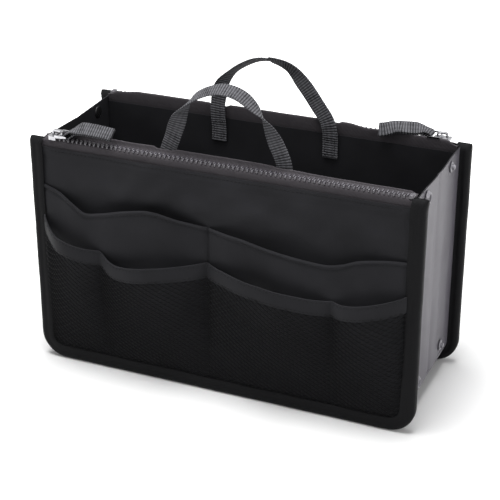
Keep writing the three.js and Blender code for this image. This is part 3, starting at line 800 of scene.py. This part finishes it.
# %% Zip tape and moulded teeth finishes
zip_cloth, tree, shader, cloth = start_finish("woven_zip_tape", on_cloth=True, IOR=1.5,
                                              Specular_IOR_Level=0.12, Sheen_Weight=0.03)
twill = add_node(tree, "ShaderNodeTexWave", {"Vector": cloth, "Scale": bands_every(1.6)},
                 bands_direction="DIAGONAL")
lint = add_node(tree, "ShaderNodeTexNoise", {"Vector": cloth, "Scale": blotches_of(7), "Detail": 3.0})
end_finish(tree, shader, lint.outputs["Fac"], ("#3a373b", "#494649"), (0.6, 0.75),
           (twill.outputs["Fac"], 0.35, 0.15))

acetal, tree, shader, place = start_finish("moulded_acetal", IOR=1.48, Specular_IOR_Level=0.75)
mould = add_node(tree, "ShaderNodeTexNoise", {"Vector": place, "Scale": blotches_of(3), "Detail": 2.0})
end_finish(tree, shader, mould.outputs["Fac"], ("#3f3c42", "#57545b"), (0.14, 0.26))
print("made", zip_cloth.name, "and", acetal.name)

# %% Outer zip tapes
TAPE_LOW, TAPE_END, TAPE_DEPTH, ZIP_MID = 166, 140.6, 2.3, 5.1
TAPE_WIDE, TAPE_UPRIGHT, TAPE_BEND = 15.6, 11.4, 2.4


# A tape stands upright below the chain and turns in under the teeth at its upper edge.
def tape_section(v):
    run = v * TAPE_WIDE
    if run < TAPE_UPRIGHT:
        return 0, TAPE_LOW + run
    turn = min((run - TAPE_UPRIGHT) / TAPE_BEND, math.pi / 2)
    return TAPE_BEND * (1 - math.cos(turn)), TAPE_LOW + TAPE_UPRIGHT + TAPE_BEND * math.sin(turn)


def outer_tape_place(u, v):
    x = TAPE_END * (2 * u - 1)
    inwards, z = tape_section(v)
    waves = 0.25 * unevenness(x, z, 24, 31.0) * (1 - v)
    tucked = v * smooth_step(abs(x), TAPE_END - 5, TAPE_END)
    return Vector((x, face_y(TAPE_DEPTH + inwards - waves), z - tucked))


outer_tapes = wall_twins(cloth_grid(150, 14, outer_tape_place, (2 * TAPE_END, TAPE_WIDE)),
                         "{}_zip_outer_tape", "grey_zip", [zip_cloth], "{}_zip_outer_stringer")
print("outer zip tapes", faces_of(outer_tapes), "faces")

# %% [markdown]
# ## Inner zip tapes
# The inner tape comes up behind the lining, stands up in a ridge and turns down to the chain. The
# handles press the ridge down at their feet, and both its ends go into the bindings. On the front it
# falls away from the slider; on the back it stands a little higher and hides the chain from inside.

# %% Inner zip tapes
INNER_SECTION = [(9.7, 168), (9.8, 172), (10.6, 176), (11.0, 180), (11.05, 182.4), (10.8, 183.7),
                 (10.4, 183.7), (10.1, 182.5), (9.7, 181.2), (8.8, 179.9), (7.6, 179.0), (6.4, 178.6)]
INNER_PATH, INNER_LENGTH = even_line([Vector((0, depth, z)) for depth, z in INNER_SECTION])
HANDLE_FEET, PRESSED, ENDS_DOWN = [-45, 45], 1.3, 3.6


def inner_tape_place(drop, rise):
    def place(u, v):
        x = TAPE_END * (1 - 2 * u)
        point = INNER_PATH(v)
        low = PRESSED * max(1 - smooth_step(abs(x - foot), 5.5, 9) for foot in HANDLE_FEET)
        ends = ENDS_DOWN * (1 - smooth_step(TAPE_END - abs(x), 0, 9))
        low = max(low, drop * smooth_step(x, 10, 85), ends)
        high = rise * smooth_step(x, -74, -58) * (1 - smooth_step(x, 112, 128))
        ridge = smooth_step(point.z, 179, 183.5)
        waves = ridge * (0.35 * unevenness(x, 0, 20, 33.0) + high - low)
        return Vector((x, face_y(point.y), point.z + waves))
    return place


inner_tapes = []
for wall, drop, rise in (("front", 2.0, 0), ("back", 0, 1.7)):
    bm = cloth_grid(226, 26, inner_tape_place(drop, rise), (2 * TAPE_END, INNER_LENGTH))
    if wall == "back":
        turn_half_round(bm)
    inner_tapes.append(make_piece(bm, f"{wall}_zip_inner_tape", f"{wall}_wall", [zip_cloth],
                                  [f"{wall}_zip_inner_stringer"]))
thicken(outer_tapes + inner_tapes, 0.5)
print("inner zip tapes", faces_of(inner_tapes), "faces")

# %% Zip teeth
TOOTH_PITCH, FIRST_TOOTH, LAST_TOOTH = 3.5, -129, 135.5
TOOTH, TIP, TOOTH_EDGE = (1.5, 3.7, 2.3, 1), (0.72, 1, 0.8), 0.38
STOP, STOP_X = (3.5, 5.6, 2.8, 1), 138.6


def tooth_row(bm, side, start):
    middle = face_y(ZIP_MID + side)
    for index in range(int((LAST_TOOTH - start) / TOOTH_PITCH) + 1):
        x = start + index * TOOTH_PITCH
        spot = Matrix.Translation((x, middle, HEIGHT)) @ Matrix.Diagonal(TOOTH)
        tooth = bmesh.ops.create_cube(bm, size=1, matrix=spot)["verts"]
        tip = [vert for vert in tooth if (vert.co.y - middle) * side < 0]
        bmesh.ops.scale(bm, vec=TIP, space=Matrix.Translation((-x, 0, -HEIGHT)), verts=tip)


bm = bmesh.new()
tooth_row(bm, -1, FIRST_TOOTH)
tooth_row(bm, 1, FIRST_TOOTH + TOOTH_PITCH / 2)
stop = Matrix.Translation((STOP_X, face_y(ZIP_MID), HEIGHT + 0.2)) @ Matrix.Diagonal(STOP)
bmesh.ops.create_cube(bm, size=1, matrix=stop)
bmesh.ops.bevel(bm, geom=bm.edges[:], offset=TOOTH_EDGE, offset_type="OFFSET", segments=1, profile=0.5,
                affect="EDGES", material=-1, clamp_overlap=True)
chains = wall_twins(bm, "{}_zip_teeth", "grey_zip", [acetal], "{}_zip_chain")
print("teeth", faces_of(chains), "faces")

# %% [markdown]
# ## Plated metal
# The slider and its ring are zinc die castings with a bright plating: a mirror that is a little
# cloudy from handling. Its colour is darker than such plating, and darker still in blotches: a painted
# reflection of the black cloth round it. The CAD shapes are right, so they stay, and a narrow bevel
# gives their edges the line of light that a casting has.

# %% Slider and ring
plating, tree, shader, place = start_finish("bright_plated_zinc", Metallic=1.0)
# The blotches vary the roughness, which is the cloudiness, and pull the colour down to a dark grey: painted
# reflection of the dark cloth near the metal.
cloud_and_painted_reflection = add_node(tree, "ShaderNodeTexNoise", {"Vector": place, "Scale": blotches_of(4), "Detail": 4.0})
end_finish(tree, shader, cloud_and_painted_reflection.outputs["Fac"], ("#77777b", "#c9c9cc"), (0.08, 0.26))
METAL = [f"{wall}_zip_{part}" for wall in WALLS for part in ("slider", "pull_ring")]
for node in METAL:
    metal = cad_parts[node]
    metal.data.materials.clear()
    metal.data.materials.append(plating)
    weld = metal.modifiers.new("weld", "WELD")
    weld.merge_threshold = 0.01 * MM
    edge = metal.modifiers.new("cast_edges", "BEVEL")
    edge.width = 0.22 * MM
    edge.segments = 2
    edge.limit_method = "ANGLE"
print("plated", METAL)

# %% [markdown]
# ## Webbing
# Handles and zip pulls are polyester webbing, mid grey, woven with raised ribs across its length
# about every 1.9 mm. The ribs are wide enough to see, so they are real waves in the mesh; the threads
# over them are drawn as small bands along it, at twice their real spacing. The colour runs from a dark
# grey in the grooves to a pale one on top of ribs and threads: painted shade, varied by random lint.

# %% Webbing finish
RIB = 1.9
webbing, tree, shader, cloth = start_finish("ribbed_polyester_webbing", on_cloth=True, IOR=1.5,
                                            Specular_IOR_Level=0.1, Sheen_Weight=0.03, Sheen_Roughness=0.4)
ribs = add_node(tree, "ShaderNodeTexWave", {"Vector": cloth, "Scale": bands_every(RIB)}, bands_direction="X")
threads = add_node(tree, "ShaderNodeTexWave", {"Vector": cloth, "Scale": bands_every(1.1), "Distortion": 0.6},
                   bands_direction="Y")
lint = add_node(tree, "ShaderNodeTexNoise", {"Vector": cloth, "Scale": blotches_of(5), "Detail": 4.0})
over = add_node(tree, "ShaderNodeMapRange", {"Value": threads.outputs["Fac"], "To Min": 0.55, "To Max": 1.0})
height = add_node(tree, "ShaderNodeMath", {0: ribs.outputs["Fac"], 1: over.outputs[0]}, operation="MULTIPLY")
# The colour follows the height of ribs and threads plus lint: painted shade, darkest in the grooves, varied
# at random by the lint.
painted_groove_shade_and_lint = add_node(tree, "ShaderNodeMath", {0: height.outputs[0], 1: lint.outputs["Fac"]}, operation="ADD")
level = add_node(tree, "ShaderNodeMapRange", {"Value": painted_groove_shade_and_lint.outputs[0], "From Min": 0.35, "From Max": 1.25})
end_finish(tree, shader, level.outputs[0], ("#151517", "#66666a"), relief=(height.outputs[0], 0.5, 0.25))
gloss = add_node(tree, "ShaderNodeMapRange", {"Value": lint.outputs["Fac"], "To Min": 0.6, "To Max": 0.8})
tree.links.new(gloss.outputs[0], shader.inputs["Roughness"])
print("made", webbing.name)

# %% [markdown]
# ## Sewing a strap
# A strap is a flat oval carried along a line. At each step three things are known: where the middle
# is, which way the strap runs and which way its width points. A grid is rolled into that tube, its
# edges are merged into one seam, and its two cut ends are closed.

# %% Strap along a line
STEPS_A_RIB, STEPS_AROUND = 6, 20
RIB_DEEP, RIB_SIDE, FLAT_FACE, ROUND_SIDE = 0.16, 0.12, 0.35, 0.6


def strap_mesh(middle, wide_at, length, width, thick):
    steps = int(length / RIB * STEPS_A_RIB)

    def place(u, v):
        step = 0.5 / steps
        low, high = max(u - step, 0), min(u + step, 1)
        along = (middle(high) - middle(low)).normalized()
        wide = wide_at(u, along)
        thin = along.cross(wide).normalized()
        turn = 2 * math.pi * v
        across, out = math.cos(turn), math.sin(turn)
        rib = 0.5 - 0.5 * math.cos(2 * math.pi * u * length / RIB)
        half_thick = thick / 2 - RIB_DEEP * (1 - rib)
        half_wide = width / 2 - RIB_SIDE * (1 - rib)
        return (middle(u) + wide * half_wide * math.copysign(abs(across) ** FLAT_FACE, across)
                + thin * half_thick * math.copysign(abs(out) ** ROUND_SIDE, out))

    bm = cloth_grid(steps, STEPS_AROUND, place, (length, 2 * width))
    bmesh.ops.remove_doubles(bm, verts=bm.verts, dist=0.01)
    bmesh.ops.holes_fill(bm, edges=[edge for edge in bm.edges if edge.is_boundary], sides=0)
    bmesh.ops.recalc_face_normals(bm, faces=bm.faces)
    return bm


# The width's direction, squared to the strap's run.
def square_to(along, wide):
    return (wide - along * wide.dot(along)).normalized()


# %% [markdown]
# ## Handles
# Each handle is one length of webbing. Its ends are sewn flat inside the wall, it stands up behind
# the zip, and on the way to the top it turns a quarter, so that it lies flat in the hand.

# %% Handles
WEB_WIDE, WEB_THICK, SEWN = 12, 1.5, 27
SEWN_Y, HINGE_Z, LEAN, ARCH_HIGH, POINT_STEPS = 45.5, 183.0, 2.5, 47, 12
FRONT_ARCH = [(-45, 156), (-45, 168), (-44, 180), (-39.6, 192), (-36, 202), (-31, 213), (-20.4, 225),
              (-3, 232.5), (12.5, 230.5), (25, 221), (32.5, 211), (39, 198), (43.6, 187), (45, 178),
              (45, 168), (45, 156)]
BACK_ARCH = [(-45, 156), (-45, 168), (-45.4, 180), (-44.4, 193), (-40.5, 205), (-28.2, 217), (-10, 225),
             (10, 222), (23.5, 210), (35, 195.5), (42, 186), (44.6, 178), (45, 168), (45, 156)]


# From its sewn foot a leg comes 1.3 mm outwards to the hinge line.
def leg_y(z):
    return SEWN_Y - 1.3 * smooth_step(z, 164, HINGE_Z)


def handle_line(arch, out):
    across = list(enumerate(x for x, z in arch))
    up = list(enumerate(z for x, z in arch))
    points = []
    for step in range(POINT_STEPS * (len(arch) - 1) + 1):
        x, z = along_points(across, step / POINT_STEPS), along_points(up, step / POINT_STEPS)
        depth = leg_y(z) + LEAN * max(z - HINGE_Z, 0) / ARCH_HIGH
        points.append(Vector((x, out * depth, z)))
    return even_line(points)


# On its way from a foot to the top the webbing turns a quarter; tip raises the front edge at the top.
def handle_mesh(arch, out, tip, twists):
    line, length = handle_line(arch, out)

    def wide_at(share, along):
        run = min(share, 1 - share) * length - SEWN
        start, end = twists[0] if share < 0.5 else twists[1]
        turn = math.radians(90) * smooth_step(run, start, end)
        aside = along.cross(Vector((0, 1, 0))).normalized()
        wide = aside * math.cos(turn) + Vector((0, -1, tip * math.sin(turn))) * math.sin(turn)
        return square_to(along, wide)

    return strap_mesh(line, wide_at, length, WEB_WIDE, WEB_THICK), length


for wall, arch, out, tip, twists in (("front", FRONT_ARCH, -1, -0.4, ((6, 50), (12, 56))),
                                     ("back", BACK_ARCH, 1, 0.5, ((2, 36), (30, 78)))):
    bm, handle_length = handle_mesh(arch, out, tip, twists)
    handle = make_piece(bm, f"{wall}_handle_webbing", f"{wall}_wall", [webbing],
                        [f"{wall}_handle_{part}" for part in ("loop", "foot_left", "foot_right")])
    handle.parent = None
    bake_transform(handle)
    print(wall, "handle", round(handle_length), "mm of webbing,", faces_of([handle]), "faces")

# %% [markdown]
# ## Zip pulls
# A pull is a short piece of the same webbing, folded round the far bar of the slider's ring and sewn
# to itself. It bows up from the ring and lies along the chain; the back one hangs over the ridge of
# its zip with its free end.

# %% Zip pulls
PULL_X, PULL_Z, PULL_WIDE, PULL_THICK, PULL_LONG = -118.6, 183.94, 10, 1.35, 36
PULL_RISE = [(-0.2, -3), (0, 0), (0.15, 4.2), (0.3, 6.2), (0.5, 6.9), (0.75, 6.6), (1, 5.8), (1.2, 5.2)]
EYE, FLAT, LAYER_STEPS, EYE_STEPS = 1.95, 0.86, 40, 16
HANGS_FROM, HANGS_IN, HANGS_DOWN, HANGS_TURNED = 0.58, 3.5, 2.2, 26


# A strap leans over to one side as it rises: both lean towards the camera's side of the object.
def pull_strap(lean, shift, lift, drape):
    def pull_middle(share):
        over = drape * smooth_step(share, HANGS_FROM, 1)
        y = face_y(ZIP_MID) + shift * smooth_step(share, 0.1, 0.6) + HANGS_IN * over
        z = PULL_Z + lift * along_points(PULL_RISE, share) - HANGS_DOWN * over
        return Vector((PULL_X + PULL_LONG * share, y, z))

    def wide_of(x):
        over = drape * smooth_step(x, PULL_X + HANGS_FROM * PULL_LONG, PULL_X + PULL_LONG)
        tip = math.radians(lean - HANGS_TURNED * over) * smooth_step(x, PULL_X + 1.5, PULL_X + 11)
        return Vector((0, math.cos(tip), math.sin(tip)))

    def aside(share):
        along = pull_middle(share + 0.01) - pull_middle(share - 0.01)
        return along.cross(wide_of(pull_middle(share).x)).normalized()

    def layer(share, side):
        spread = FLAT + (EYE - FLAT) * (1 - smooth_step(share, 0, 0.22))
        return pull_middle(share) + side * spread * aside(share)

    points = [layer(1 - step / LAYER_STEPS, -1) for step in range(LAYER_STEPS)]
    start = math.atan2(-aside(0).z, -aside(0).x)
    for step in range(EYE_STEPS + 1):
        turn = start - math.pi * step / EYE_STEPS * (1 if aside(0).z > 0 else -1)
        points.append(pull_middle(0) + EYE * Vector((math.cos(turn), 0, math.sin(turn))))
    points += [layer(step / LAYER_STEPS, 1) for step in range(1, LAYER_STEPS + 1)]
    line, length = even_line(points)

    def wide_at(share, along):
        return square_to(along, wide_of(line(share).x))

    return strap_mesh(line, wide_at, length, PULL_WIDE, PULL_THICK), length


for wall, lean, shift, lift, drape in (("front", 38, -1.5, 1.0, 0), ("back", -36, 4.4, 0.5, 1)):
    bm, pull_length = pull_strap(lean, shift, lift, drape)
    if wall == "back":
        turn_half_round(bm)
    pull = make_piece(bm, f"{wall}_pull_webbing", f"{wall}_zip_pull", [webbing],
                      [f"{wall}_zip_pull_strap"])
    print(wall, "pull", round(pull_length), "mm of webbing,", faces_of([pull]), "faces")

# %% [markdown]
# ## Snaps
# The snaps that hold the folded sides are moulded plastic in the satin's grey: a ring-shaped socket
# on one half, a flange with a round stud on the other, and a domed black cap on the inside of each.
# All of them are turned shapes, so a half section is drawn and spun once round.

# %% Snap finishes
snap_finishes = {}
for part, colours, roughness in (("snap", ("#77757b", "#858389"), (0.24, 0.38)),
                                 ("cap", ("#101011", "#1a1a1b"), (0.2, 0.34))):
    finish, tree, shader, place = start_finish(f"moulded_{part}_plastic", IOR=1.49, Specular_IOR_Level=0.5)
    mould = add_node(tree, "ShaderNodeTexNoise", {"Vector": place, "Scale": blotches_of(5), "Detail": 3.0})
    end_finish(tree, shader, mould.outputs["Fac"], colours, roughness)
    snap_finishes[part] = finish
print("made", [finish.name for finish in snap_finishes.values()])

# %% Turned snaps
# Half sections: distance from the axis, and height above the cloth's outer face.
SOCKET = [(0, 0.4), (2.5, 0.4), (2.6, 0.7), (2.6, 1.9), (2.9, 2.35), (3.4, 2.5), (3.9, 2.2), (4.2, 1.6),
          (4.7, 1.1), (5.0, 0.7), (5.0, 0.2), (4.7, 0.0), (0, 0.0)]
STUD = [(0, 2.8), (1.2, 2.75), (1.9, 2.4), (2.1, 1.9), (1.85, 1.4), (1.8, 1.0), (2.1, 0.8), (3.6, 0.75),
        (4.1, 0.5), (4.2, 0.2), (4.0, 0.0), (0, 0.0)]
CAP = [(0, -2.5), (2.0, -2.45), (3.8, -2.15), (4.8, -1.75), (5.0, -1.5), (4.8, -1.25), (0, -1.25)]
SNAP_STEPS, SNAP_PROUD = 32, 0.1


def turned(section, y, z, side):
    bm = bmesh.new()
    points = [bm.verts.new((height, radius, 0)) for radius, height in section]
    edges = [bm.edges.new(pair) for pair in zip(points, points[1:])]
    bmesh.ops.spin(bm, geom=points + edges, cent=(0, 0, 0), axis=(1, 0, 0), angle=2 * math.pi,
                   steps=SNAP_STEPS, use_merge=True)
    bmesh.ops.remove_doubles(bm, verts=bm.verts, dist=0.001)
    bmesh.ops.scale(bm, vec=(side, 1, 1), verts=bm.verts)
    bmesh.ops.recalc_face_normals(bm, faces=bm.faces)
    bmesh.ops.translate(bm, vec=(side * (GUSSET_X + SNAP_PROUD), y, z), verts=bm.verts)
    return bm


SNAPS = [("socket", SOCKET, "right", "left", 1), ("stud", STUD, "left", "right", -1),
         ("cap", CAP, "right", "left", 1), ("cap", CAP, "left", "right", -1)]
for level, height in SNAP_HEIGHTS.items():
    for kind, section, front, rear, side in SNAPS:
        names = (f"{front}_front_{level}_{kind}", f"{rear}_rear_{level}_{kind}")
        make_twins(turned(section, -SNAP_Y, height, side), [name + "_snap" for name in names],
                   (f"{front}_gusset_front", f"{rear}_gusset_rear"),
                   [snap_finishes["cap" if kind == "cap" else "snap"]],
                   [[name] for name in names])
print("snaps at", SNAP_HEIGHTS, "mm")

# %% [markdown]
# ## Stiff sheets
# Behind each outer panel is a flexible plastic sheet. It hardly shows, but it keeps the wall upright,
# so the CAD solid stays and gets a finely grained dark finish.

# %% Stiff sheets
board, tree, shader, place = start_finish("grained_plastic_sheet", IOR=1.5)
grain = add_node(tree, "ShaderNodeTexNoise", {"Vector": place, "Scale": blotches_of(1.5), "Detail": 4.0})
end_finish(tree, shader, grain.outputs["Fac"], ("#1e1e20", "#29292c"), (0.5, 0.7))
for wall in WALLS:
    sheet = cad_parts[f"{wall}_stiffener"]
    sheet.data.materials.clear()
    sheet.data.materials.append(board)
print("made", board.name)

# %% [markdown]
# ## Stitching
# Every seam is lockstitched with black polyester thread, about 3 mm a stitch. A stitch is a thread
# that dips into the cloth at both ends, so each is a small stretched ball, half sunk in the surface.

# %% Thread and one row of stitches
thread, tree, shader, place = start_finish("polyester_thread", IOR=1.5, Specular_IOR_Level=0.15,
                                           Roughness=0.6)
twist = add_node(tree, "ShaderNodeTexWave", {"Vector": place, "Scale": bands_every(0.4)},
                 bands_direction="DIAGONAL")
end_finish(tree, shader, twist.outputs["Fac"], ("#0a0a0b", "#151517"))
STITCH, THREAD = 3.0, 0.5


def stitch_line(bm, place, length):
    count = int(length / STITCH)
    size = Matrix.Diagonal((0.42 * STITCH, THREAD / 2, THREAD / 2, 1))
    for index in range(count):
        middle = Matrix.Translation(place((index + 0.5) / count))
        along = place((index + 0.8) / count) - place((index + 0.2) / count)
        turn = along.to_track_quat("X", "Z").to_matrix().to_4x4()
        bmesh.ops.create_icosphere(bm, subdivisions=1, radius=1, matrix=middle @ turn @ size)


# %% Where the seams run
PROUD = Vector((0, 0.05, 0))
SEAM_FOOT, FOOT_HALF, FOOT_LOW, FOOT_HIGH = 14, 3.8, 158.5, 172
BINDING_SEAM, PANEL_SEAM = 2.2, 2.4


def binding_line(share):
    return binding_place(share, BINDING_SEAM / TAPE_FLAT) - PROUD


def panel_line(share):
    return panel_place(0.05 + 0.9 * share, 1 - PANEL_SEAM / PANEL_TOP) - PROUD


def hem_line(v):
    return lambda share: hem_place(0.005 + 0.99 * share, v) - PROUD


def net_seam(x):
    def place(share):
        z = SEAM_FOOT + (along_points(NET_MOUTH, x) - SEAM_FOOT) * share
        return Vector((x, face_y(net_depth(x, z) - 0.9), z))
    return place


def slip_seam(share):
    low, high = along_points(NET_MOUTH, MIDDLE_SEAM), along_points(SLIP_MOUTH, MIDDLE_SEAM)
    z = low + (high - low) * share
    return Vector((MIDDLE_SEAM, face_y(slip_depth(MIDDLE_SEAM, z) - 0.7), z))


def slip_line(share):
    u = 0.01 + 0.98 * share
    deep = slip_place(u, 1).z - slip_place(u, 0).z
    return slip_place(u, 1 - HEM / deep) - PROUD


def foot_box(foot):
    corners = [(-FOOT_HALF, FOOT_LOW), (FOOT_HALF, FOOT_LOW), (FOOT_HALF, FOOT_HIGH), (-FOOT_HALF, FOOT_HIGH),
               (-FOOT_HALF, FOOT_LOW)]
    return even_line([Vector((foot + x, 0.85 - leg_y(z), z)) for x, z in corners])


# %% Stitches
bm = bmesh.new()
for foot in HANDLE_FEET:
    stitch_line(bm, *foot_box(foot))
stitch_line(bm, slip_line, 300)
stitch_line(bm, binding_line, EDGE_LENGTH)
stitch_line(bm, panel_line, 266)
for v in (0.13, 0.87):
    stitch_line(bm, hem_line(v), 290)
for x in NET_SEAMS[1:-1]:
    stitch_line(bm, net_seam(x), 90)
stitch_line(bm, slip_seam, 28)
stitches = wall_twins(bm, "{}_stitching", "black_binding", [thread])
print("stitching", faces_of(stitches), "faces")
